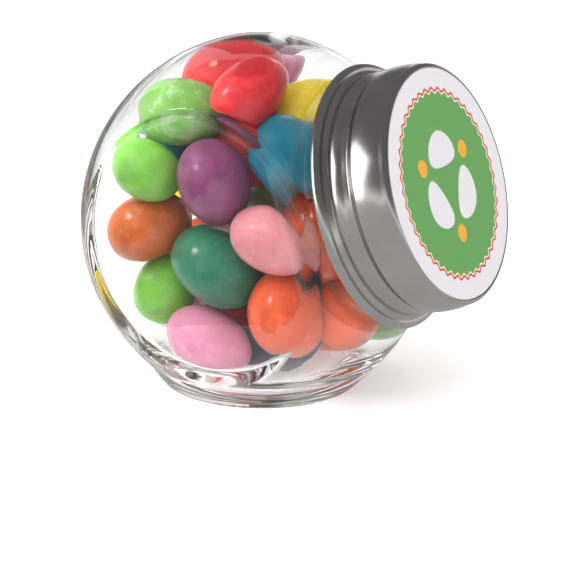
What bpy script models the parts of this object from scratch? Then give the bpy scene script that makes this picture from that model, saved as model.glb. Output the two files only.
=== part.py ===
"""A small round glass sweet jar with a slanted neck, a twist-off tin lid with a round paper label,
and a filling of jelly beans.

The frame: +Z up, the jar stands on the XY plane, and the origin is the middle of its flat foot.
The neck leans towards +X, and the jar's two flat windows face -Y and +Y.
All sizes below are in millimetres, and MM turns them into Blender's metres.
"""

import math

import bmesh
import bpy
from mathutils import Matrix, Vector

MM = 0.001

# The jar's body: a ball with two flat round windows. Its middle is not quite over the foot's
BODY_R = 32.0
BODY_X = 2.2
BODY_Z = 29.1
WINDOW_Y = 22.4  # each window's distance from the ball's middle
WINDOW_EDGE = 2.6  # rounding between window and ball

# The foot, a flat disc with a round heel
FOOT_R = 14.4
HEEL_R = 3.0

# The shoulder, where the ball slims down to the neck. Distances S run from the ball's middle
# along the neck's axis
SHOULDER_BACK = 5.0  # the shoulder's own ball has its middle this far behind the body's
SHOULDER_R = 33.4
SHOULDER_S = 21.9  # the flat ledge under the lid

# The hollow inside: a smaller ball, set a little higher and nearer the neck, so that the glass is thick
# below and at the back, and thin on top
HOLLOW_R = 30.0
HOLLOW_SHIFT = Vector((0.2, 0, 1.3))
HOLLOW_Y = 20.2
HOLLOW_EDGE = 2.5
FLOOR_GLASS = 3.4  # thickness of the glass over the foot
SHOULDER_GLASS = 1.1  # thickness of the glass at the shoulder

# The neck, turned about its own axis, which rises from +X
NECK_TILT = 17.4  # degrees
NECK_R = 18.9
NECK_TOP_S = 34.6
NECK_BORE_R = 15.8
NECK_ROUND = 1.2
HOLLOW_SHOULDER_S = 19.0

# The lid
LID_FACE_S = 35.9
LID_CROWN_R = 20.4
LID_CROWN_ROUND = 0.9
LID_STEP_R = 20.7
LID_STEP_S = 29.2  # a raised step round the skirt
LID_LOWER_R = 20.4  # the skirt below the step
LID_GROOVE_R = 20.15
LID_CURL_S = 23.3
LID_CURL_R = 21.55  # middle of the rolled edge
LID_CURL_TUBE = 0.95
TIN = 0.4
PANEL_DROP = 0.5  # the panel lies this far below the lid's crown

# The label, a paper disc in the panel
LABEL_R = 19.5
LABEL_PAPER = 0.15
GAP = 0.3  # kept between pieces that touch

# The jelly beans' outline
HEAP_GAP = 0.6  # to the glass
HEAP_LUMPS = 30  # beans that meet the outline
HEAP_DIMPLE = 0.10  # depth of the hollows between them, as a share of the distance from the middle
HEAP_SEGMENTS = 44
HEAP_RINGS = 24

TURN_STEPS = 48
ARC_STEPS = 4

BALL = Vector((BODY_X, 0, BODY_Z))
NECK_AXIS = Vector((math.cos(math.radians(NECK_TILT)), 0, math.sin(math.radians(NECK_TILT))))


def clear_scene():
    for thing in list(bpy.data.objects):
        bpy.data.objects.remove(thing)


def collection(name, hidden=False):
    made = bpy.data.collections.new(name)
    made.hide_render = hidden
    bpy.context.scene.collection.children.link(made)
    return made


def material(name, colour, roughness, metallic=0.0, transmission=0.0):
    made = bpy.data.materials.new(name)
    made.use_nodes = True
    shader = made.node_tree.nodes["Principled BSDF"]
    shader.inputs["Base Color"].default_value = (*colour, 1.0)
    shader.inputs["Roughness"].default_value = roughness
    shader.inputs["Metallic"].default_value = metallic
    shader.inputs["Transmission Weight"].default_value = transmission
    return made


def upright_on_neck():
    """The matrix that stands a turned shape's Z axis on the neck's axis, from the ball's middle."""
    return Matrix.Translation(BALL * MM) @ Matrix.Rotation(math.radians(90 - NECK_TILT), 4, "Y")


def across_windows(middle):
    """The matrix that lays a turned shape's Z axis along Y, through the windows."""
    return Matrix.Translation(middle * MM) @ Matrix.Rotation(math.radians(-90), 4, "X")


def arc(r, s, radius, start, end, steps=ARC_STEPS):
    """Points on an arc about (r, s) from one angle to another, in degrees from the r axis."""
    angles = [math.radians(start + (end - start) * i / steps) for i in range(steps + 1)]
    return [(r + radius * math.cos(a), s + radius * math.sin(a)) for a in angles]


def turned(name, profile, place, group, look=None, steps=TURN_STEPS):
    """A closed body of revolution. profile is (radius, height) down the outer side, in millimetres."""
    mesh = bpy.data.meshes.new(name)
    points = [(r * MM, 0, s * MM) for r, s in profile]
    mesh.from_pydata(points, [(i, i + 1) for i in range(len(points) - 1)], [])
    thing = bpy.data.objects.new(name, mesh)
    thing.matrix_world = place
    group.objects.link(thing)
    screw = thing.modifiers.new("turn", "SCREW")
    screw.steps = screw.render_steps = steps
    screw.use_merge_vertices = True
    screw.merge_threshold = 0.00001
    screw.use_smooth_shade = True
    if look:
        mesh.materials.append(look)
    return thing


def block(name, low, high, place, group):
    """A box between two corners, in millimetres, used as a cutter."""
    mesh = bpy.data.meshes.new(name)
    shape = bmesh.new()
    bmesh.ops.create_cube(shape, size=1.0)
    size = [(b - a) * MM for a, b in zip(low, high)]
    middle = Vector([(a + b) / 2 * MM for a, b in zip(low, high)])
    bmesh.ops.transform(shape, matrix=Matrix.Translation(middle) @ Matrix.Diagonal((*size, 1)), verts=shape.verts)
    shape.to_mesh(mesh)
    shape.free()
    thing = bpy.data.objects.new(name, mesh)
    thing.matrix_world = place
    group.objects.link(thing)
    return thing


def cutter(thing):
    thing.hide_render = True
    thing.display_type = "WIRE"
    return thing


def boolean(thing, other, operation):
    step = thing.modifiers.new(other.name, "BOOLEAN")
    step.operation = operation
    step.solver = "EXACT"
    step.object = other


def drum_profile(radius, half_width, edge):
    """A ball cut by two planes, with a rounded edge between ball and plane, as (radius, height)."""
    rounding_r = math.sqrt((radius - edge) ** 2 - (half_width - edge) ** 2)
    meets = math.degrees(math.atan2(half_width - edge, rounding_r))
    upper = [(0, half_width)] + arc(rounding_r, half_width - edge, edge, 90, meets)
    side = arc(0, 0, radius, meets, -meets, steps=12)[1:-1]
    lower = [(r, -s) for r, s in reversed(upper)]
    return upper + side + lower


def make_shoulder(name, radius, ledge_s, tools):
    """What a wall is cut down to near the neck: a wider ball, set back and ended by a flat ledge."""
    ledge = ledge_s + SHOULDER_BACK
    start = math.degrees(math.asin(ledge / radius))
    profile = [(0, ledge)] + arc(0, 0, radius, start, -90, steps=24)
    profile[-1] = (0, -radius)
    back = Matrix.Translation((0, 0, -SHOULDER_BACK * MM))
    return turned(name, profile, upright_on_neck() @ back, tools, steps=64)


def make_foot(tools):
    heel = arc(FOOT_R, HEEL_R, HEEL_R, 90, -90, steps=6)
    return turned("foot", [(0, 2 * HEEL_R)] + heel + [(0, 0)], Matrix(), tools)


def make_neck(tools):
    root_s = SHOULDER_S - 4
    lip = arc(NECK_R - NECK_ROUND, NECK_TOP_S - NECK_ROUND, NECK_ROUND, 90, 0)
    profile = [(0, NECK_TOP_S)] + lip + [(NECK_R, root_s), (0, root_s)]
    return turned("neck", profile, upright_on_neck(), tools)


def make_hollow(tools):
    """The inside: a ball with flat sides, floor and shoulder, and the bore that leads out of it."""
    reach = 2 * BODY_R
    profile = drum_profile(HOLLOW_R, HOLLOW_Y, HOLLOW_EDGE)
    hollow = turned("hollow", profile, across_windows(BALL + HOLLOW_SHIFT), tools, steps=40)
    floor = block("hollow_floor", (-reach, -reach, -reach), (reach, reach, FLOOR_GLASS), Matrix(), tools)
    inner_r = SHOULDER_R - SHOULDER_GLASS
    shoulder = make_shoulder("hollow_shoulder", inner_r, HOLLOW_SHOULDER_S, tools)
    mouth_r = NECK_BORE_R + NECK_ROUND
    above = NECK_TOP_S + 2
    lip = arc(mouth_r, NECK_TOP_S - NECK_ROUND, NECK_ROUND, 90, 180)
    root_s = HOLLOW_SHOULDER_S - 11
    profile = [(0, above), (mouth_r, above)] + lip + [(NECK_BORE_R, root_s), (0, root_s)]
    bore = turned("bore", profile, upright_on_neck(), tools)
    boolean(hollow, cutter(floor), "DIFFERENCE")
    boolean(hollow, cutter(shoulder), "INTERSECT")
    boolean(hollow, cutter(bore), "UNION")
    return hollow


def make_glass(parts, tools, look):
    """The jar: a ball with windows, shoulder, foot and neck, and a hollow inside."""
    profile = drum_profile(BODY_R, WINDOW_Y, WINDOW_EDGE)
    jar = turned("glass_jar", profile, across_windows(BALL), parts, look)
    reach = 2 * BODY_R
    below = block("below_foot", (-reach, -reach, -reach), (reach, reach, 0), Matrix(), tools)
    shoulder = make_shoulder("shoulder", SHOULDER_R, SHOULDER_S, tools)
    boolean(jar, cutter(shoulder), "INTERSECT")
    boolean(jar, cutter(below), "DIFFERENCE")
    boolean(jar, cutter(make_foot(tools)), "UNION")
    boolean(jar, cutter(make_neck(tools)), "UNION")
    boolean(jar, cutter(make_hollow(tools)), "DIFFERENCE")
    return jar


def lid_profile():
    """The lid's outer side, from the middle of the panel out over the crown and down to the curl."""
    panel = LID_FACE_S - PANEL_DROP
    crown_r = LID_CROWN_R - LID_CROWN_ROUND
    crown_s = LID_FACE_S - LID_CROWN_ROUND
    well_r = LABEL_R + GAP
    crown = [(0, panel), (well_r, panel), (well_r, LID_FACE_S - 0.1)]
    crown += arc(crown_r, crown_s, LID_CROWN_ROUND, 80, 0)
    step = [
        (LID_STEP_R, LID_STEP_S + 0.3),
        (LID_STEP_R - 0.1, LID_STEP_S),
        (LID_GROOVE_R, LID_STEP_S - 0.8),
        (LID_LOWER_R, LID_STEP_S - 1.8),
        (LID_LOWER_R, LID_CURL_S + 1.6),
    ]
    curl = arc(LID_CURL_R, LID_CURL_S, LID_CURL_TUBE, 110, -150, steps=10)
    return crown + step + curl


def make_lid(parts, look):
    """The twist-off lid: one skin of tin, panel, crown, stepped skirt and a rolled edge."""
    outer = lid_profile()
    inner_r = LID_GROOVE_R - TIN
    under_panel = LID_FACE_S - PANEL_DROP - TIN
    inner = [(inner_r, LID_CURL_S + 0.3), (inner_r, under_panel), (0, under_panel)]
    return turned("lid", outer + inner, upright_on_neck(), parts, look)


def make_label(parts, look):
    """The paper label, lying in the lid's panel."""
    seat = LID_FACE_S - PANEL_DROP + GAP
    profile = [(0, seat + LABEL_PAPER), (LABEL_R, seat + LABEL_PAPER), (LABEL_R, seat), (0, seat)]
    return turned("lid_label", profile, upright_on_neck(), parts, look)


def hollow_reach(way, middle):
    """Distance from middle to the filled hollow's edge along a unit vector, in millimetres."""
    lowest = FLOOR_GLASS - middle.z
    along = way.dot(NECK_AXIS)
    inside = HOLLOW_R - HEAP_GAP
    inside = min(inside, (HOLLOW_Y - HEAP_GAP) / max(abs(way.y), 1e-9))
    off_shoulder = middle - BALL + SHOULDER_BACK * NECK_AXIS
    slant = off_shoulder.dot(way)
    inner_r = SHOULDER_R - SHOULDER_GLASS - HEAP_GAP
    inside = min(inside, math.sqrt(slant**2 + inner_r**2 - off_shoulder.length_squared) - slant)
    if way.z < 0:
        inside = min(inside, (lowest + HEAP_GAP) / way.z)
    if along > 0:
        off_middle = (middle - BALL).dot(NECK_AXIS)
        across = math.sqrt(max(1 - along**2, 1e-12))
        shelf = (HOLLOW_SHOULDER_S - HEAP_GAP - off_middle) / along
        top = (NECK_TOP_S - NECK_ROUND - off_middle) / along
        side = (NECK_BORE_R - HEAP_GAP - HOLLOW_SHIFT.length) / across
        inside = max(min(inside, shelf), min(top, side))
    return inside


def lump_directions():
    """Even directions round a ball, on a golden-angle spiral."""
    golden = math.pi * (3 - math.sqrt(5))
    for i in range(HEAP_LUMPS):
        z = 1 - 2 * (i + 0.5) / HEAP_LUMPS
        across = math.sqrt(1 - z * z)
        yield Vector((across * math.cos(golden * i), across * math.sin(golden * i), z))


def make_heap(parts, look):
    """The jelly beans as one lumpy solid: a ball whose points are moved out to the filled hollow's edge."""
    lumps = list(lump_directions())
    half_pitch = math.acos(1 - 2 / HEAP_LUMPS) * 1.05
    middle = BALL + HOLLOW_SHIFT
    shape = bmesh.new()
    bmesh.ops.create_uvsphere(shape, u_segments=HEAP_SEGMENTS, v_segments=HEAP_RINGS, radius=1.0)
    bmesh.ops.rotate(shape, verts=shape.verts, matrix=Matrix.Rotation(math.radians(90 - NECK_TILT), 3, "Y"))
    for point in shape.verts:
        way = point.co.normalized()
        nearest = math.acos(min(1.0, max(way.dot(lump) for lump in lumps)))
        dimple = HEAP_DIMPLE * min(1.0, nearest / half_pitch) ** 2
        point.co = (middle + way * hollow_reach(way, middle) * (1 - dimple)) * MM
    mesh = bpy.data.meshes.new("jelly_beans")
    shape.to_mesh(mesh)
    shape.free()
    mesh.shade_smooth()
    mesh.materials.append(look)
    heap = bpy.data.objects.new("jelly_beans", mesh)
    parts.objects.link(heap)
    return heap


def main():
    clear_scene()
    parts = collection("jelly_bean_jar")
    tools = collection("cutters")
    make_glass(parts, tools, material("clear_glass", (0.97, 0.98, 0.97), 0.02, transmission=1.0))
    make_lid(parts, material("tinplate", (0.72, 0.71, 0.69), 0.22, metallic=1.0))
    make_label(parts, material("label_paper", (0.90, 0.88, 0.90), 0.45))
    make_heap(parts, material("sugar_shell", (0.80, 0.24, 0.16), 0.25))


main()
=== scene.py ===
"""A small round glass sweet jar, standing on its foot with the neck slanted, full of jelly beans.

The jar is one piece of clear glass with two flat round windows. A tin lid with a paper label closes it.
Sizes are in millimetres, and MM turns them into metres as each mesh is made. The frame is the part's own:
+Z up, the foot on the XY plane, the neck leaning towards +X and the windows facing -Y and +Y.
"""

import math

import bpy
import numpy as np
from mathutils import Matrix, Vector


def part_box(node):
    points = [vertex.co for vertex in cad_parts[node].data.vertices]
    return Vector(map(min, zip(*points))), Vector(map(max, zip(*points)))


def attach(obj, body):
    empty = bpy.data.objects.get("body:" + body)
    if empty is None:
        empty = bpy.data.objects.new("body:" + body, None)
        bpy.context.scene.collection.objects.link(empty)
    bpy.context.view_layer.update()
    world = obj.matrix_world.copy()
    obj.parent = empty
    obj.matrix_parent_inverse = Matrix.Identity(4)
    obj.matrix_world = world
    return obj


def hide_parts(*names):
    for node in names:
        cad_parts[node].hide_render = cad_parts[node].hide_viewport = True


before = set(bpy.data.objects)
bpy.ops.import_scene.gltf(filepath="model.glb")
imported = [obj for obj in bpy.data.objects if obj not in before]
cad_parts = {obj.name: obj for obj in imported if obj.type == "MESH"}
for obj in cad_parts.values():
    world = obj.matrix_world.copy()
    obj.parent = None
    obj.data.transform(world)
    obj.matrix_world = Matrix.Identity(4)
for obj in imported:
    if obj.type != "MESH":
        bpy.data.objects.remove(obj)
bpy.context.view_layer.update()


# --- The glass jar -----------------------------------------------------------------------------------
# Clear soda glass, blown into a mould in one piece: a ball with two flat windows, a foot and a neck.
# The wall is thin above and at the windows, thick at the foot, and slightly wavy on the inside.

# A value named R is a radius, S a distance from the ball's middle along the neck, Y a distance from
# the middle plane, ROUND an edge's radius and GLASS a wall's thickness
MM = 0.001
BODY_R = 32.0
WINDOW_Y = 22.4
WINDOW_ROUND = 0.7
FOOT_R = 12.6
HEEL_R = 3.0
HEEL_FLOW = 6.0  # how widely the ball runs into the foot
FOOT_ROUND = 0.6
PUSH_UP = 0.7  # the foot is hollowed this much, so that it stands on its rim
PUSH_UP_R = 10.0
PUSH_UP_ROUND = 0.4
SHOULDER_BACK = 5.0  # the shoulder's own ball lies this far back from the neck
SHOULDER_R = 33.4
SHOULDER_FLOW = 0.8
LEDGE_S = 21.9
LEDGE_ROUND = 0.5
NECK_R = 18.9
NECK_TOP_S = 34.6
LIP_ROUND = 1.2
HOLLOW_R = 30.0
HOLLOW_SHIFT = np.array((0.2, 0.0, 1.3))
HOLLOW_Y = 20.2
HOLLOW_ROUND = 0.4
FLOOR_GLASS = 3.4
FLOOR_ROUND = 4.0
SHOULDER_GLASS = 1.1
SHOULDER_ROUND = 2.0
BORE_R = 15.8
BORE_S = 19.0
BORE_ROUND = 5.0
BORE_FILLET = 3.0
LABEL_S = 35.775  # the middle of the label, from which the ball's place is worked out
NECK_TILT = math.radians(17.4)
WAVE = 0.12  # how deep the moulding's waves are, on the wall below WAVE_TOP
WAVE_TOP = -12.0
WAVE_FADE = 8.0

UP = np.array((0.0, 0.0, 1.0))
NECK = np.array((math.cos(NECK_TILT), 0.0, math.sin(NECK_TILT)))
ACROSS = np.array((0.0, 1.0, 0.0))
NECK_UP = np.cross(NECK, ACROSS)
label_low, label_high = (np.array(corner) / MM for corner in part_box("lid_label"))
BALL = (label_low + label_high) / 2 - LABEL_S * NECK


def length(v):
    """The length of each vector in an array."""
    return np.sqrt((v * v).sum(-1))


def both(a, b, radius):
    """What lies in both of two solids, their edge rounded: the greater distance, and past the edge the
    hypotenuse of the two."""
    past = np.hypot(np.maximum(a + radius, 0), np.maximum(b + radius, 0))
    return np.minimum(np.maximum(a, b), -radius) + past


def either(a, b, radius):
    """What lies in one of two solids or the other, the corner between them filled to that radius."""
    near = np.hypot(np.maximum(radius - a, 0), np.maximum(radius - b, 0))
    return np.maximum(np.minimum(a, b), radius) - near


def flowing(a, b, width):
    """Two solids run together: the lesser distance, less a parabola where they differ by under width."""
    share = np.clip(0.5 + 0.5 * (b - a) / width, 0, 1)
    return b + (a - b) * share - width * share * (1 - share)


def glass_outside(q):
    """Signed distance, in millimetres from the ball's middle, to the jar's outer skin."""
    along = q @ NECK
    off_neck = length(q - along[..., None] * NECK)
    ball = length(q) - BODY_R
    shoulder = length(q + SHOULDER_BACK * NECK) - SHOULDER_R
    body = -flowing(-ball, -shoulder, SHOULDER_FLOW)
    body = both(body, along - LEDGE_S, LEDGE_ROUND)
    body = both(body, np.abs(q[..., 1]) - WINDOW_Y, WINDOW_ROUND)
    neck = np.maximum.reduce([off_neck - NECK_R, along - NECK_TOP_S, -along])
    body = either(body, neck, LEDGE_ROUND)
    place = q + BALL
    off_foot = np.hypot(place[..., 0], place[..., 1])
    foot = np.hypot(np.maximum(off_foot - FOOT_R, 0), place[..., 2] - HEEL_R) - HEEL_R
    body = both(flowing(body, foot, HEEL_FLOW), -place[..., 2], FOOT_ROUND)
    dome_r = (PUSH_UP_R**2 + PUSH_UP**2) / (2 * PUSH_UP)
    dome = length(place - (PUSH_UP - dome_r) * UP) - dome_r
    return both(body, -dome, PUSH_UP_ROUND)


def glass_inside(q):
    """Signed distance to the hollow's skin: a lifted ball with flat sides, a floor and a shoulder, and
    the bore that leads out of it. The lower wall has a wave, a sum of slow sines of the place."""
    along = q @ NECK
    off_neck = length(q - along[..., None] * NECK)
    hollow = length(q - HOLLOW_SHIFT) - HOLLOW_R
    hollow = both(hollow, np.abs(q[..., 1]) - HOLLOW_Y, HOLLOW_ROUND)
    hollow = both(hollow, FLOOR_GLASS - BALL[2] - q[..., 2], FLOOR_ROUND)
    shoulder = length(q + SHOULDER_BACK * NECK) - SHOULDER_R + SHOULDER_GLASS
    hollow = both(hollow, shoulder, SHOULDER_ROUND)
    hollow = both(hollow, along - BORE_S, BORE_ROUND)
    hollow = either(hollow, np.maximum(off_neck - BORE_R, -along), BORE_FILLET)
    wave = np.sin(q[..., 0] / 4.1 + np.sin(q[..., 2] / 5.3))
    wave = wave + np.sin(q[..., 2] / 3.7 + q[..., 1] / 6.1 + 1.0)
    low = np.clip((WAVE_TOP - q[..., 2]) / WAVE_FADE, 0, 1)
    off_window = np.clip((HOLLOW_Y - np.abs(q[..., 1])) / 3, 0, 1)
    return hollow + WAVE * wave * low * off_window


def turns(columns):
    """That many angles, evenly round a circle."""
    return np.arange(columns) * 2 * math.pi / columns


def round_neck(turn):
    """Unit vectors at right angles to the neck's axis, one for each turn."""
    return np.cos(turn)[:, None] * ACROSS + np.sin(turn)[:, None] * NECK_UP


def ways_from(lean, turn):
    """Unit vectors that lean away from the neck's axis, a row for each lean, a column for each turn."""
    return np.cos(lean)[:, None, None] * NECK + np.sin(lean)[:, None, None] * round_neck(turn)


def drawn_to_edge(ways, edge_angle, width=math.radians(7), finest=0.3):
    """The same ways, crowded towards a cone about the windows' axis, where the wall turns its corner.
    Within width of the cone the angle to it shrinks, to finest of its size on the cone itself."""
    across = np.abs(ways[..., 1])
    angle = np.arccos(np.clip(across, -1, 1))
    away = angle - edge_angle
    near = np.minimum(np.abs(away) / width, 1)
    turned = edge_angle + away * (finest + (1 - finest) * near)
    rest = ways * np.array((1.0, 0.0, 1.0))
    rest /= np.maximum(length(rest), 1e-9)[..., None]
    return np.cos(turned)[..., None] * np.sign(ways[..., 1:2]) * ACROSS + np.sin(turned)[..., None] * rest


def reach(surface, ways, far=45.0):
    """The distance from the ball's middle to the surface along each way, by halving."""
    low = np.zeros(ways.shape[:-1])
    high = low + far
    for _ in range(40):
        middle = (low + high) / 2
        within = surface(ways * middle[..., None]) < 0
        low = np.where(within, middle, low)
        high = np.where(within, high, middle)
    return low


def slope(surface, q, step=0.05):
    """The unit vector straight out of the surface, from the differences over a small step each way."""
    out = np.stack([surface(q + step * way) - surface(q - step * way) for way in np.eye(3)], -1)
    return out / length(out)[..., None]


def skin_faces(rows, columns):
    """Faces of a grid whose columns wrap round, closed by a fan at each end. The two end points come
    after the grid's own."""
    here = np.arange(rows * columns).reshape(rows, columns)
    beside = np.roll(here, -1, axis=1)
    quads = np.stack([here[:-1], here[1:], beside[1:], beside[:-1]], -1).reshape(-1, 4)
    first, last = rows * columns, rows * columns + 1
    start = np.stack([np.full(columns, first), here[0], beside[0]], -1)
    finish = np.stack([np.full(columns, last), beside[-1], here[-1]], -1)
    return quads, np.concatenate([start, finish])


def make_piece(name, places, quads, triangles, material, normals=None):
    """A mesh object at the origin from arrays in millimetres, smooth, with its own normals if given."""
    mesh = bpy.data.meshes.new(name)
    corners = np.concatenate([quads.ravel(), triangles.ravel()]).astype(np.int32)
    starts = np.concatenate([np.arange(len(quads)) * 4, len(quads) * 4 + np.arange(len(triangles)) * 3])
    mesh.vertices.add(len(places))
    mesh.vertices.foreach_set("co", (places * MM).astype(np.float32).ravel())
    mesh.loops.add(len(corners))
    mesh.loops.foreach_set("vertex_index", corners)
    mesh.polygons.add(len(starts))
    mesh.polygons.foreach_set("loop_start", starts.astype(np.int32))
    mesh.update(calc_edges=True)
    mesh.shade_smooth()
    if normals is not None:
        mesh.normals_split_custom_set_from_vertices(normals)
    mesh.materials.append(material)
    piece = bpy.data.objects.new(name, mesh)
    bpy.context.scene.collection.objects.link(piece)
    return piece


class Wire:
    """A node's output. Arithmetic on it adds a Math node, and node() adds any other kind of node."""

    def __init__(self, socket):
        self.socket = socket

    def node(self, kind, settings, sockets, output=0):
        """Adds a node: its settings first, then a value or a wire for each socket named or numbered."""
        tree = self.socket.id_data
        made = tree.nodes.new(kind)
        for name, value in settings.items():
            setattr(made, name, value)
        for name, value in sockets.items():
            if isinstance(value, Wire):
                tree.links.new(value.socket, made.inputs[name])
            else:
                made.inputs[name].default_value = value
        return Wire(made.outputs[output])

    def math(self, operation, *others):
        """Adds a Math node that works on this and the others, in that order."""
        sockets = dict(enumerate((self, *others)))
        return self.node("ShaderNodeMath", {"operation": operation}, sockets)

    def __add__(self, other):
        return self.math("ADD", other)

    def __sub__(self, other):
        return self.math("SUBTRACT", other)

    def __rsub__(self, other):
        return self.node("ShaderNodeMath", {"operation": "SUBTRACT"}, {0: other, 1: self})

    def __mul__(self, other):
        return self.math("MULTIPLY", other)

    def __truediv__(self, other):
        return self.math("DIVIDE", other)

    def __pow__(self, other):
        return self.math("POWER", other)

    __radd__, __rmul__ = __add__, __mul__

    def smooth(self, low, high):
        """0 below low, 1 above high, and a smooth step between."""
        sockets = {0: self, 1: low, 2: high}
        return self.node("ShaderNodeMapRange", {"interpolation_type": "SMOOTHSTEP"}, sockets)

    def blend(self, first, second):
        """The first colour where this is 0 and the second where it is 1."""
        sockets = {0: self, 6: first, 7: second}
        return self.node("ShaderNodeMix", {"data_type": "RGBA"}, sockets, output=2)

    def noise(self, size, detail=2.0, roughness=0.5):
        """Cloudy noise from 0 to 1 at this place, its lumps about size millimetres wide."""
        sockets = {"Vector": self, "Scale": 1 / (size * MM), "Detail": detail, "Roughness": roughness}
        return self.node("ShaderNodeTexNoise", {}, sockets)

    def bump(self, depth):
        """The normal for a relief of this height map, depth millimetres high."""
        sockets = {"Height": self, "Distance": depth * MM, "Strength": 1.0}
        return self.node("ShaderNodeBump", {}, sockets, "Normal")


def finish_of(name, constants):
    """A material whose Principled shader has these constants. Gives it, its shader and the place wire."""
    material = bpy.data.materials.new(name)
    material.use_nodes = True
    shader = material.node_tree.nodes["Principled BSDF"]
    for socket, value in constants.items():
        shader.inputs[socket].default_value = value
    place = material.node_tree.nodes.new("ShaderNodeTexCoord").outputs["Object"]
    return material, shader, Wire(place)


def feed(shader, socket, wire):
    """Wires what varies over the surface to a socket of the shader."""
    shader.id_data.links.new(wire.socket, shader.inputs[socket])


def clear_glass():
    """Clear glass with a faint grey cast and slow ripples. Lamps' rays pass straight through, dimmed."""
    material, shader, place = finish_of("clear_glass", {
        "Base Color": (0.965, 0.97, 0.965, 1),
        "Transmission Weight": 1.0,
        "Roughness": 0.0,
        "IOR": 1.5,
    })
    feed(shader, "Normal", place.noise(7.0, detail=1.0).bump(0.02))
    tree = material.node_tree
    through = tree.nodes.new("ShaderNodeBsdfTransparent")
    through.inputs["Color"].default_value = (0.93, 0.93, 0.93, 1)
    choice = tree.nodes.new("ShaderNodeMixShader")
    tree.links.new(tree.nodes.new("ShaderNodeLightPath").outputs["Is Shadow Ray"], choice.inputs[0])
    tree.links.new(shader.outputs[0], choice.inputs[1])
    tree.links.new(through.outputs[0], choice.inputs[2])
    tree.links.new(choice.outputs[0], tree.nodes["Material Output"].inputs["Surface"])
    return material


def make_jar():
    """The inner wall from the far pole up to the mouth, over the rounded lip, and down the outer wall."""
    columns, inner_rows, lip_rows, outer_rows = 320, 120, 7, 152
    last_lean = math.radians(179.2)
    turn = turns(columns)
    lip_s = NECK_TOP_S - LIP_ROUND
    inner = ways_from(np.linspace(last_lean, math.atan2(BORE_R, lip_s), inner_rows), turn)
    outer = ways_from(np.linspace(math.atan2(NECK_R, lip_s), last_lean, outer_rows), turn)
    inner = drawn_to_edge(inner, math.acos(HOLLOW_Y / HOLLOW_R))
    outer = drawn_to_edge(outer, math.acos(WINDOW_Y / BODY_R))
    inner_wall = inner * reach(glass_inside, inner)[..., None]
    outer_wall = outer * reach(glass_outside, outer)[..., None]
    angle = np.linspace(math.pi, math.pi / 2, lip_rows + 1)[1:]
    angle = np.concatenate([angle, math.pi - angle[::-1]])
    lip_out = np.cos(angle)[:, None, None] * round_neck(turn) + np.sin(angle)[:, None, None] * NECK
    lip_middle_r = np.repeat((BORE_R + LIP_ROUND, NECK_R - LIP_ROUND), lip_rows)
    lip_middle = lip_middle_r[:, None, None] * round_neck(turn) + lip_s * NECK
    grid = np.concatenate([inner_wall, lip_middle + LIP_ROUND * lip_out, outer_wall])
    out = np.concatenate([-slope(glass_inside, inner_wall), lip_out, slope(glass_outside, outer_wall)])
    far_way = -NECK[None]
    inner_pole, outer_pole = (far_way * reach(skin, far_way) for skin in (glass_inside, glass_outside))
    places = np.concatenate([grid.reshape(-1, 3), inner_pole, outer_pole]) + BALL
    normals = np.concatenate([out.reshape(-1, 3), [NECK, -NECK]])
    quads, triangles = skin_faces(len(grid), columns)
    return make_piece("jar_glass", places, quads, triangles, clear_glass(), normals)


jar = make_jar()
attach(jar, "root")
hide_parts("glass_jar")


# --- The jelly beans ---------------------------------------------------------------------------------
# Pressed starch-moulded jelly with a panned sugar shell, polished with wax. Each is a fat bean with
# blunt ends and a shallow waist on one side, and no two are quite alike.

BEAN_LENGTH = 15.0
BEAN_WIDTH = 11.6
BEAN_DEPTH = 0.96 * BEAN_WIDTH
BEAN_ROWS = 44  # of each bean's mesh, from end to end
BEAN_COLUMNS = 32
END_SHARE = 0.93  # a bean's end balls, for packing, as a share of its middle one
LUMPS = 0.007  # how uneven a bean is, as a share of its size
WAIST = 0.42  # how far the waist's dent reaches, as a share of half the length
SIGHT = np.array((-0.46, 0.84, -0.28))  # the way the camera looks
SHELLS = {  # each colour, and how much of it is frosted over
    "red": ((0.52, 0.02, 0.025), 0.06),
    "pink": ((0.66, 0.245, 0.38), 0.2),
    "salmon": ((0.70, 0.26, 0.29), 0.3),
    "green": ((0.155, 0.41, 0.045), 0.2),
    "frosted": ((0.15, 0.35, 0.06), 0.7),
    "olive": ((0.16, 0.24, 0.02), 0.1),
    "orange": ((0.62, 0.08, 0.018), 0.12),
    "amber": ((0.45, 0.095, 0.012), 0.2),
    "purple": ((0.19, 0.042, 0.12), 0.12),
    "teal": ((0.015, 0.14, 0.07), 0.12),
    "blue": ((0.0, 0.13, 0.20), 0.0),
    "navy": ((0.002, 0.006, 0.03), 0.0),
    "yellow": ((0.92, 0.68, 0.0), 0.0),
    "cream": ((0.80, 0.76, 0.68), 0.2),
}

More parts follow.
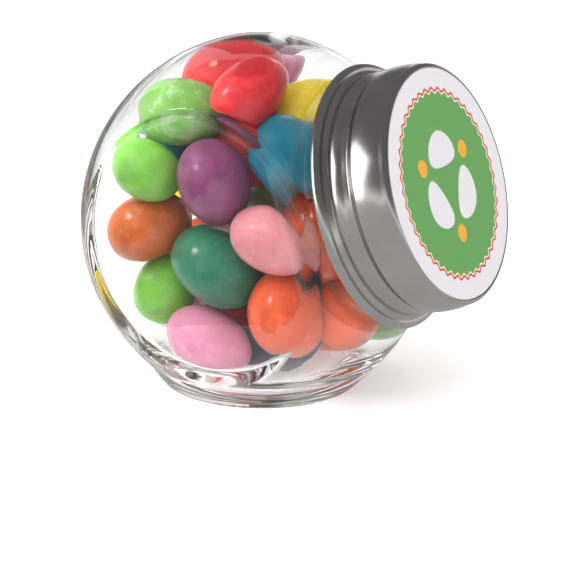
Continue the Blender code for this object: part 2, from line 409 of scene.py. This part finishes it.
# Those that lie against the front window and the upper wall, each with its colour, its middle from the
# ball's middle, the way its long axis points, and its length, width and depth
FRONT_BEANS = (
    ("green", (-14.5, -14.3, 10.5), (9, -3, -3), (12.8, 10.6, 10.2)),
    ("purple", (-1.4, -13.9, 9.6), (5, -2, -8), (14.9, 12.8, 12.0)),
    ("amber", (-14.3, -13.9, 0.6), (8, 4, 4), (14.6, 11.2, 11.2)),
    ("teal", (-2.3, -13.6, -5.2), (9, -1, -4), (16.4, 13.6, 12.5)),
    ("green", (-12.5, -12.1, -10.5), (2, 2, 10), (12.4, 10.2, 10.5)),
    ("pink", (-2.7, -13.7, -20.2), (9, 1, -5), (15.6, 11.2, 11.0)),
    ("salmon", (8.6, -14.5, 1.9), (9, 1, -3), (15.6, 11.2, 11.0)),
    ("orange", (10.4, -13.7, -11.0), (4, -3, -9), (15.0, 13.6, 12.5)),
    ("red", (-3.4, -3.5, 12.4), (8, 0, -5), (15.4, 11.6, 11.0)),
    ("blue", (-14.7, -3.0, 12.0), (6, -1, -8), (13.0, 11.0, 11.0)),
    ("blue", (9.0, -7.0, 13.2), (9, 1, -4), (16.5, 13.5, 12.5)),
    ("olive", (3.5, -1.0, 4.0), (9, 4, 2), (14.5, 11.0, 11.0)),
    ("red", (-3.7, -2.0, -17.5), (6, -1, -8), (14.0, 11.0, 11.0)),
    ("navy", (5.8, -7.6, -20.0), (8, 4, 4), (13.6, 10.6, 10.6)),
    ("orange", (14.8, -5.0, -12.1), (4, 3, 9), (15.4, 12.0, 11.4)),
    ("orange", (13.6, -6.0, 0.3), (6, -2, -8), (14.5, 11.0, 11.0)),
    ("red", (-7.2, 0.8, 23.6), (9, 4, 2), (17.4, 12.6, 11.8)),
    ("pink", (-3.4, 11.6, 20.0), (6, 0, -8), (14.4, 12.0, 11.6)),
    ("frosted", (-12.6, -8.6, 19.0), (9, 4, -1), (15.6, 10.8, 10.8)),
    ("yellow", (8.8, 2.6, 17.8), (9, 3, -2), (15.0, 10.8, 10.5)),
    ("pink", (-0.4, 5.4, 12.4), (9, 3, -1), (14.0, 10.6, 10.2)),
)
HIDDEN_COLOURS = (  # the beans behind them, which lie at random
    "yellow", "green", "salmon", "cream", "yellow", "orange", "cream", "yellow", "salmon", "red",
    "green", "red", "amber", "pink", "blue", "orange", "orange",
)


def unit(v):
    """Each vector in an array, made one long."""
    return v / length(v)[..., None]


def bean_balls(middles, axes, sizes):
    """Each bean as three balls in a row, for packing: their middles, and their radii."""
    girth = (sizes[:, 1] + sizes[:, 2]) / 4
    offset = sizes[:, 0] / 2 - END_SHARE * girth
    step = np.array((-1.0, 0.0, 1.0))
    places = middles[:, None] + (offset[:, None] * step)[..., None] * axes[:, None]
    return places, girth[:, None] * np.array((END_SHARE, 1.0, END_SHARE))


def settle(middles, axes, sizes, front, rounds=500, clear=0.3):
    """Packs the beans. In each round every ball is pushed out of its neighbours and clear of the glass
    by most of what it overlaps, and each bean is then laid through its own three balls. Those in front
    give way only to each other and are drawn back to their places, least along the line of sight, until
    the last rounds. The hidden ones give way to all, sink a little, and grow to full size on the way."""
    give = 0.7  # how much of each overlap is made good in a round
    drift = 0.02  # the share of the way home that is made up in a round
    sink = 0.04
    start_size = 0.55
    home, home_axes = middles, axes
    owner = np.repeat(np.arange(len(middles)), 3)
    hidden = ~front[owner]
    share = np.where(hidden[:, None] == hidden[None], 0.5, np.where(hidden[:, None], 1.0, 0.0))
    share *= owner[:, None] != owner[None]
    for turn in range(rounds):
        grown = np.where(front, 1.0, min(1.0, start_size + turn / (0.6 * rounds)))
        balls, radii = bean_balls(middles, axes, sizes * grown[:, None])
        balls, radii = balls.reshape(-1, 3), radii.ravel()
        apart = balls[:, None] - balls[None]
        gap = length(apart) + 1e-9
        overlap = np.maximum(radii[:, None] + radii[None] - gap, 0)
        push = (apart / gap[..., None] * (overlap * share)[..., None]).sum(1) * give
        out = np.maximum(glass_inside(balls) + radii + clear, 0)[:, None] * slope(glass_inside, balls)
        balls = (balls + push - out).reshape(-1, 3, 3)
        astray = home - balls.mean(1)
        sideways = astray - (astray @ SIGHT)[:, None] * SIGHT
        pull = 0.3 if turn < 0.9 * rounds else drift
        step = np.where(front[:, None], pull * sideways + drift * astray, -sink * UP)
        middles = balls.mean(1) + step
        axes = unit(unit(balls[:, 2] - balls[:, 0]) + np.where(front[:, None], 0.3 * home_axes, 0))
    return middles, axes


def bean_shapes(middles, axes, waists, sizes, draw):
    """All beans at once. The grid's two parameters give a direction, which is pushed out to a rounded
    box of even powers, stretched to the bean's size, made fatter at one end, bent along a parabola,
    and pinched at the waist by a bell curve."""
    count = len(middles)
    lean = np.linspace(0, math.pi, BEAN_ROWS + 2)[1:-1]
    turn = turns(BEAN_COLUMNS)
    grid = np.stack([
        np.cos(lean)[:, None] + 0 * turn,
        np.sin(lean)[:, None] * np.cos(turn),
        np.sin(lean)[:, None] * np.sin(turn),
    ], -1).reshape(-1, 3)
    way = np.concatenate([grid, [(1.0, 0, 0), (-1.0, 0, 0)]])
    power = draw.uniform(2.0, 2.2, count)[:, None]
    rounded = (np.abs(way[None]) ** power[..., None]).sum(-1) ** (-1 / power)
    spin = draw.uniform(0, 2 * math.pi, (count, 3))[:, None]
    lumps = np.sin(np.array((3, 4, 4)) * way + spin).sum(-1)
    local = way[None] * (rounded * (1 + LUMPS * lumps))[..., None] * sizes[:, None] / 2
    along = local[..., 0] / sizes[:, None, 0] * 2
    taper = 1 + draw.uniform(-0.07, 0.07, count)[:, None] * along
    local[..., 1:] *= taper[..., None]
    bend = draw.uniform(0.03, 0.07, count)[:, None] * sizes[:, :1]
    waist = np.exp(-((along / WAIST) ** 2))
    pinch = draw.uniform(0.3, 0.8, count)[:, None] * waist * np.clip(way[:, 1], 0, 1) ** 2
    local[..., 1] += bend * (along**2 - 0.35) - pinch
    side = unit(waists - (waists * axes).sum(-1, keepdims=True) * axes)
    turned = np.stack([axes, side, np.cross(axes, side)], 1)
    return local @ turned + middles[:, None]


def sugar_shell(name, colour, frost):
    """A waxed sugar shell: cloudy colour, paler where the sugar blooms, with a soft sheen and a few
    pits. Light goes a little way in. frost is how much of the bloom shows, from 0 to 1."""
    material, shader, place = finish_of(name, {
        "Subsurface Weight": 0.15,
        "Subsurface Radius": (1.0, 0.6, 0.4),
        "Subsurface Scale": 0.0015,
        "Coat Roughness": 0.10,
        "Specular IOR Level": 0.12,
    })
    cloud = place.noise(3.2, detail=4.0, roughness=0.6)
    bloom = place.noise(2.4, detail=6.0, roughness=0.72).smooth(0.45, 0.72)
    deep = tuple(0.9 * part for part in colour) + (1.0,)
    pale = tuple(1.06 * part for part in colour) + (1.0,)
    frosty = tuple(0.4 * part + 0.48 for part in colour) + (1.0,)
    clouded = cloud.smooth(0.3, 0.7).blend(deep, pale)
    feed(shader, "Base Color", (bloom * (0.6 * frost)).blend(clouded, frosty))
    feed(shader, "Roughness", 0.32 + 0.20 * bloom + 0.10 * cloud)
    feed(shader, "Coat Weight", 0.8 - 0.5 * bloom)
    relief = place.noise(2.6, detail=3.0) + 0.25 * place.noise(0.7, detail=2.0)
    feed(shader, "Normal", relief.bump(0.03))
    return material


def make_beans():
    """The front beans as listed and the hidden ones drawn at random, packed together, with the beans
    of each colour made one piece."""
    draw = np.random.default_rng(7)
    hidden = len(HIDDEN_COLOURS)
    names, places, ways, sizes = zip(*FRONT_BEANS)
    colours = np.array(names + HIDDEN_COLOURS)
    front = np.arange(len(colours)) < len(FRONT_BEANS)
    anywhere = [draw.uniform(low, high, hidden) for low, high in ((-18, 20), (-2, 13), (-16, 18))]
    middles = np.concatenate([np.array(places, float), np.stack(anywhere, -1)])
    axes = unit(np.concatenate([np.array(ways, float), draw.normal(size=(hidden, 3))]))
    waists = np.concatenate([np.tile(SIGHT, (len(FRONT_BEANS), 1)), draw.normal(size=(hidden, 3))])
    usual_size = np.array((BEAN_LENGTH, BEAN_WIDTH, BEAN_DEPTH))
    sizes = np.concatenate([np.array(sizes), usual_size * draw.uniform(0.93, 1.05, (hidden, 3))])
    middles, axes = settle(middles, axes, sizes, front)
    shapes = bean_shapes(middles, axes, waists, sizes, draw) + BALL
    quads, triangles = skin_faces(BEAN_ROWS, BEAN_COLUMNS)
    pieces = []
    for colour, (tint, frost) in SHELLS.items():
        chosen = shapes[colours == colour]
        base = (np.arange(len(chosen)) * chosen.shape[1])[:, None, None]
        piece = make_piece(
            "beans_" + colour,
            chosen.reshape(-1, 3),
            (quads + base).reshape(-1, 4),
            (triangles + base).reshape(-1, 3),
            sugar_shell("shell_" + colour, tint, frost),
        )
        pieces.append(piece)
    return pieces


for beans in make_beans():
    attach(beans, "root")
    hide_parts("jelly_beans")


# --- The lid -----------------------------------------------------------------------------------------
# A twist-off lid pressed from thin tinplate: a sunk panel, a round crown, a stepped skirt and an edge
# rolled outwards. The rollers leave fine lines round the skirt.

LID_FACE_S = 35.9
PANEL_DROP = 0.5
WELL_R = 19.8
WELL_DROP = 0.15  # how far the top of the panel's side lies below the face
CROWN_R = 20.4
CROWN_ROUND = 0.9
STEP_R = 20.7
STEP_S = 29.2
STEP_ROUND = 0.4
GROOVE_R = 20.15
GROOVE_DROP = 0.9  # from the step down to the groove
GROOVE_ROUND = 0.5
LOWER_R = 20.4
CURL_S = 23.3
CURL_R = 21.55
CURL_TUBE = 0.95
SKIRT_BOW = 0.22  # how far each band of the skirt bows out
TIN = 0.4


def arc(r, s, radius, start, end, steps=10):
    """Points on an arc about (r, s), from one angle to another in degrees from the r axis."""
    angles = np.radians(np.linspace(start, end, steps))
    return [(r + radius * math.cos(a), s + radius * math.sin(a)) for a in angles]


def bowed(r0, s0, r1, s1, bow, steps=12):
    """Points along a line from one (r, s) to another that bows out as a parabola."""
    share = np.linspace(0, 1, steps)
    return [(r0 + (r1 - r0) * t + 4 * bow * t * (1 - t), s0 + (s1 - s0) * t) for t in share]


def even_profile(points, ease=0.12, longest=0.8):
    """The profile with a point just inside both ends of each long straight, so that flats shade flat."""
    done = [points[0]]
    for (r0, s0), (r1, s1) in zip(points, points[1:]):
        run = math.hypot(r1 - r0, s1 - s0)
        if run > longest:
            done += [(r0 + (r1 - r0) * t, s0 + (s1 - s0) * t) for t in (ease / run, 1 - ease / run)]
        done.append((r1, s1))
    return np.array(done)


def turned_piece(name, profile, material, columns=192):
    """A profile of (radius, distance along the neck) turned about the neck's axis. Its first and last
    points lie on the axis and close it."""
    profile = even_profile(profile)
    side = round_neck(turns(columns))
    rings = profile[1:-1, 0, None, None] * side + profile[1:-1, 1, None, None] * NECK
    poles = profile[[0, -1], 1, None] * NECK
    places = np.concatenate([rings.reshape(-1, 3), poles]) + BALL
    quads, triangles = skin_faces(len(rings), columns)
    return make_piece(name, places, quads, triangles, material)


def neck_place(place, distance):
    """The place in millimetres in the neck's own frame, whose middle is that distance along the neck:
    x across, y up the label and z along the axis."""
    turned = Matrix((ACROSS, NECK_UP, NECK)).transposed().to_euler()
    middle = (BALL + distance * NECK) * MM
    sockets = {"Vector": place, "Location": middle, "Rotation": turned, "Scale": (MM, MM, MM)}
    return place.node("ShaderNodeMapping", {"vector_type": "TEXTURE"}, sockets)


def split(vector):
    """The three parts of a vector wire."""
    return [vector.node("ShaderNodeSeparateXYZ", {}, {0: vector}, axis) for axis in range(3)]


def tinplate():
    """Bright tinplate: a warm grey metal with fine rolled lines round the skirt and cloudy dull spots."""
    material, shader, place = finish_of("tinplate", {"Metallic": 1.0})
    local = neck_place(place, 0.0)
    x, y, z = split(local)
    stretched = local.node("ShaderNodeCombineXYZ", {}, {0: z * 9.0, 1: x * 0.05, 2: y * 0.05})
    lines = stretched.node("ShaderNodeTexNoise", {}, {"Vector": stretched, "Scale": 1.0, "Detail": 3.0})
    cloud = place.noise(7.0, detail=3.0)
    dull, bright = (0.55, 0.54, 0.53, 1), (0.62, 0.61, 0.59, 1)
    feed(shader, "Base Color", cloud.smooth(0.3, 0.7).blend(dull, bright))
    feed(shader, "Roughness", 0.13 + 0.10 * lines + 0.06 * cloud)
    feed(shader, "Normal", lines.bump(0.006))
    return material


def make_lid():
    """The profile goes out over the panel, down the skirt, round the rolled edge and back up inside."""
    panel = LID_FACE_S - PANEL_DROP
    crown = [(0, panel), (WELL_R, panel), (WELL_R, LID_FACE_S - WELL_DROP)]
    crown += arc(CROWN_R - CROWN_ROUND, LID_FACE_S - CROWN_ROUND, CROWN_ROUND, 85, 12)
    crown += bowed(CROWN_R, LID_FACE_S - CROWN_ROUND - 0.3, STEP_R, STEP_S + 0.6, SKIRT_BOW)
    step = arc(STEP_R - STEP_ROUND, STEP_S + STEP_ROUND, STEP_ROUND, 0, -60, 6)
    groove = arc(GROOVE_R + GROOVE_ROUND, STEP_S - GROOVE_DROP, GROOVE_ROUND, 120, 200, 7)
    lower = bowed(LOWER_R - 0.1, STEP_S - GROOVE_DROP - 1, LOWER_R - 0.05, CURL_S + 1.5, SKIRT_BOW)
    curl = arc(CURL_R, CURL_S, CURL_TUBE, 115, -150, 18)
    inner_r = GROOVE_R - TIN
    inside = [(inner_r, CURL_S + 0.3), (inner_r, panel - TIN), (0, panel - TIN)]
    return turned_piece("lid_tin", crown + step + groove + lower + curl + inside, tinplate())


lid = make_lid()
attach(lid, "root")
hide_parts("lid")


# --- The label ---------------------------------------------------------------------------------------
# A round self-adhesive paper label in the lid's panel, printed in flat colours under a satin varnish:
# a green field with a wavy cream and red edge, a trefoil of three white beans, and amber dots.

LABEL_R = 19.5
LABEL_PAPER = 0.15
LABEL_LOW_S = 35.7
LABEL_EDGE = 0.05
FIELD_R = 15.3
CREAM_WIDTH = 0.32
RED_WIDTH = 0.43
WAVES = 44
WAVE_DEPTH = 0.28


def printed_paper():
    """The print is worked out from the distance to the label's middle and the angle round it."""
    material, shader, place = finish_of("printed_paper", {"Specular IOR Level": 0.4})
    x, y = split(neck_place(place, LABEL_S))[:2]
    radius = (x * x + y * y) ** 0.5
    angle = y.math("ARCTAN2", x)
    edge = radius - WAVE_DEPTH * (angle * WAVES).math("COSINE")

    def within(wire, limit, soft=0.06):
        """1 where the wire is under the limit and 0 where it is over."""
        return 1 - wire.smooth(limit - soft, limit + soft)

    def bean_mask(turn, out, half_length, half_width):
        """An ellipse that lies along a circle round the label's middle, out from it and slightly bent."""
        cos, sin = math.cos(turn), math.sin(turn)
        u = (x * cos + y * sin) - out
        v = y * cos - x * sin
        bent = u + v * v * 0.05
        return within((bent * bent / half_width**2 + v * v / half_length**2) ** 0.5, 1.0, 0.03)

    white, cream = (0.76, 0.73, 0.75, 1), (0.84, 0.75, 0.55, 1)
    red, green, amber = (0.60, 0.04, 0.04, 1), (0.12, 0.34, 0.085, 1), (0.80, 0.39, 0.02, 1)
    colour = within(edge, FIELD_R + CREAM_WIDTH + RED_WIDTH).blend(white, red)
    colour = within(edge, FIELD_R + CREAM_WIDTH).blend(colour, cream)
    colour = within(edge, FIELD_R).blend(colour, green)
    for i in range(3):
        turn = math.radians(90 + 120 * i)
        bean = bean_mask(turn, out=6.0, half_length=4.6, half_width=3.0)
        dot = bean_mask(turn + math.pi, out=8.6, half_length=1.5, half_width=1.5)
        colour = dot.blend(bean.blend(colour, white), amber)
    paper = place.noise(0.35, detail=3.0)
    feed(shader, "Base Color", colour)
    feed(shader, "Roughness", 0.38 + 0.15 * paper)
    feed(shader, "Normal", paper.bump(0.006))
    return material


def make_label():
    """A thin disc whose upper edge is rounded."""
    top = LABEL_LOW_S + LABEL_PAPER
    rim = arc(LABEL_R - LABEL_EDGE, top - LABEL_EDGE, LABEL_EDGE, 90, 0, 4)
    profile = [(0, top)] + rim + [(LABEL_R, LABEL_LOW_S), (0, LABEL_LOW_S)]
    return turned_piece("label_paper", profile, printed_paper())


label = make_label()
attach(label, "root")
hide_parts("lid_label")


# --- The table, the light and the camera -------------------------------------------------------------
# A white light table, lit a little from below, in soft studio light. Polished pieces mirror a duller
# table instead, and each lamp does one job: it lights, is mirrored, or shows in the glass.


def make_sheet(name, corners, material):
    """A flat piece with four corners."""
    return make_piece(name, corners, np.array([[0, 1, 2, 3]]), np.zeros((0, 3), int), material)


def make_table(name, grey, height, glow):
    """A flat square, wide enough to fill the view, that may be lit from below."""
    half = 2200.0
    corners = np.array([(-half, -half, 0), (half, -half, 0), (half, half, 0), (-half, half, 0)])
    material, shader, place = finish_of(name, {
        "Specular IOR Level": 0.1,
        "Emission Color": (1, 1, 1, 1),
        "Emission Strength": glow,
    })
    grain = place.noise(40.0, detail=3.0)
    darker, lighter = (grey, grey, grey, 1), (grey + 0.01, grey + 0.01, grey + 0.01, 1)
    feed(shader, "Base Color", grain.blend(darker, lighter))
    feed(shader, "Roughness", 0.7 + 0.1 * grain)
    return make_sheet(name, corners + height * UP, material)


def make_sky():
    """The room: white paper up to the horizon, then a quick fade to dim grey walls."""
    world = bpy.data.worlds.new("studio")
    world.use_nodes = True
    background = world.node_tree.nodes["Background"]
    way = Wire(world.node_tree.nodes.new("ShaderNodeTexCoord").outputs["Generated"])
    height = split(way)[2]
    room = height.smooth(0.06, 0.22).blend((1, 1, 1, 1), (0.16, 0.155, 0.16, 1))
    feed(background, "Color", room)
    bpy.context.scene.world = world


def make_card(name, foot, across, height):
    """An upright black card that shows only through glass. foot is the middle of its lower edge, and
    across is half its width as a vector, in millimetres."""
    top = foot + height * UP
    corners = np.array([foot - across, foot + across, top + across, top - across])
    material = finish_of(name, {"Base Color": (0.01, 0.01, 0.01, 1), "Specular IOR Level": 0.0})[0]
    card = make_sheet(name, corners, material)
    card.visible_camera = card.visible_diffuse = card.visible_glossy = card.visible_shadow = False
    return card


def facing(turn, rise):
    """The unit vector towards an azimuth and elevation in degrees, azimuth 0 being -Y."""
    turn, rise = math.radians(turn), math.radians(rise)
    return np.array((math.sin(turn) * math.cos(rise), -math.cos(turn) * math.cos(rise), math.sin(rise)))


def facing_back(place, way):
    """A level placing, in millimetres, for a lamp or a camera that looks against the way."""
    side = unit(np.cross(UP, way))
    turned = np.stack([side, np.cross(way, side), way], 1)
    return Matrix.Translation(place * MM) @ Matrix(turned).to_4x4()


def make_lamp(name, way, away, size, power, lights=False, mirrored=False, in_glass=False):
    """A soft light, away millimetres from the ball and shining at it, its size in millimetres too. It
    lights plain surfaces, is mirrored by polished ones, or shows in glass and in what lies behind."""
    lamp = bpy.data.lights.new(name, "AREA")
    lamp.shape = "RECTANGLE"
    lamp.size, lamp.size_y = size[0] * MM, size[1] * MM
    lamp.energy = power
    piece = bpy.data.objects.new(name, lamp)
    piece.visible_camera = False
    piece.visible_diffuse = lights
    piece.visible_glossy = mirrored
    piece.visible_transmission = in_glass
    piece.matrix_world = facing_back(BALL + away * way, way)
    bpy.context.scene.collection.objects.link(piece)


CAMERA_AWAY = 600.0
CAMERA_LENS = 214.9

# A long lens from a little above, turned slightly off the ball's middle
camera = bpy.data.objects.new("camera", bpy.data.cameras.new("camera"))
camera.data.lens = CAMERA_LENS
camera.data.clip_start = 0.01
camera.matrix_world = facing_back(BALL + CAMERA_AWAY * facing(28.6, 16.0), facing(28.16, 17.23))
bpy.context.scene.collection.objects.link(camera)
bpy.context.scene.camera = camera
bpy.context.scene.view_settings.view_transform = "Standard"
rays = bpy.context.scene.cycles  # light goes round inside the thick glass many times
rays.max_bounces = rays.glossy_bounces = rays.transmission_bounces = rays.transparent_max_bounces = 32

table = make_table("table", grey=0.95, height=0.0, glow=0.3)
table.visible_glossy = table.visible_shadow = False
dull_table = make_table("dull_table", grey=0.38, height=-0.5, glow=0.0)  # what polished pieces mirror
dull_table.visible_camera = dull_table.visible_diffuse = dull_table.visible_transmission = False
make_sky()
make_lamp("key", facing(-42, 38), away=500, size=(110, 110), power=9.0, in_glass=True)
make_lamp("broad", facing(0, 88), away=2000, size=(6000, 6000), power=112.0, lights=True)
make_lamp("fill", facing(10, 35), away=1500, size=(1500, 1500), power=15.0, lights=True)
make_lamp("left", facing(-50, 16), away=700, size=(420, 460), power=1.7, mirrored=True)
make_lamp("back", facing(200, 27), away=1500, size=(2500, 1100), power=6.0, in_glass=True)

# The black cards draw the dark edge of the glass at the top, and keep the front window free of glare
under_ball = BALL * (1, 1, 0)
behind = under_ball + 330 * facing(211, 0) + 5 * UP
before = under_ball + 64 * facing(-32, 0) + 1 * UP
rim_card = make_card("rim_card", behind, across=40 * facing(121, 0), height=320.0)
window_card = make_card("window_card", before, across=60 * facing(58, 0), height=45.0)
